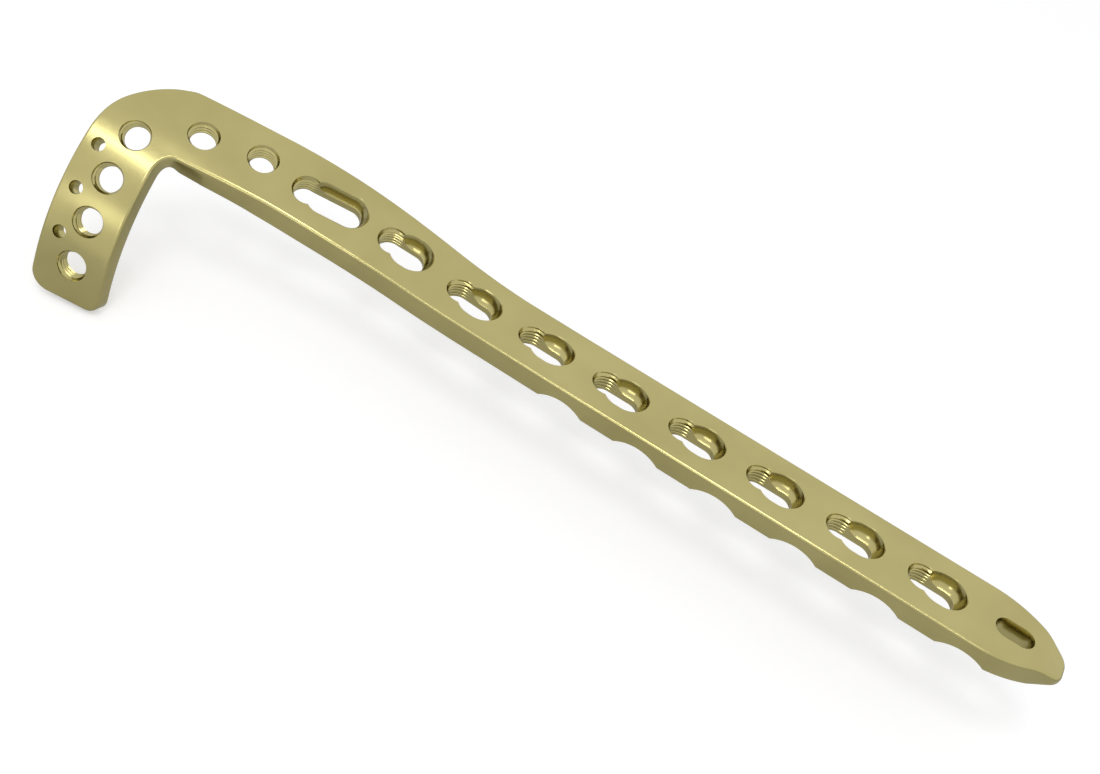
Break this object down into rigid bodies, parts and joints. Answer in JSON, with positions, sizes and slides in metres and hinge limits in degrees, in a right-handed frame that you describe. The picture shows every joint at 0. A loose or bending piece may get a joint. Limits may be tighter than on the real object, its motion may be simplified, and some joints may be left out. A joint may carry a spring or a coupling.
{
  "type": "orthopaedic bone plate",
  "caption": "Contoured bone plate: a straight shaft of threaded keyholes, a rising neck and a side arm bent round the bone.",
  "frame": {"origin": "on the shaft's flat underside, under the middle of the row of keyholes", "axes": "+X along the shaft towards the thin tip, +Y across it away from the arm, +Z out of the bone side"},
  "size_m": [0.1576, 0.0347, 0.0283],
  "materials": {
    "anodised_titanium": "satin, gold-coloured anodised titanium"
  },
  "bodies": {
    "root": {"bone_plate": "anodised_titanium"}
  },
  "joints": []
}
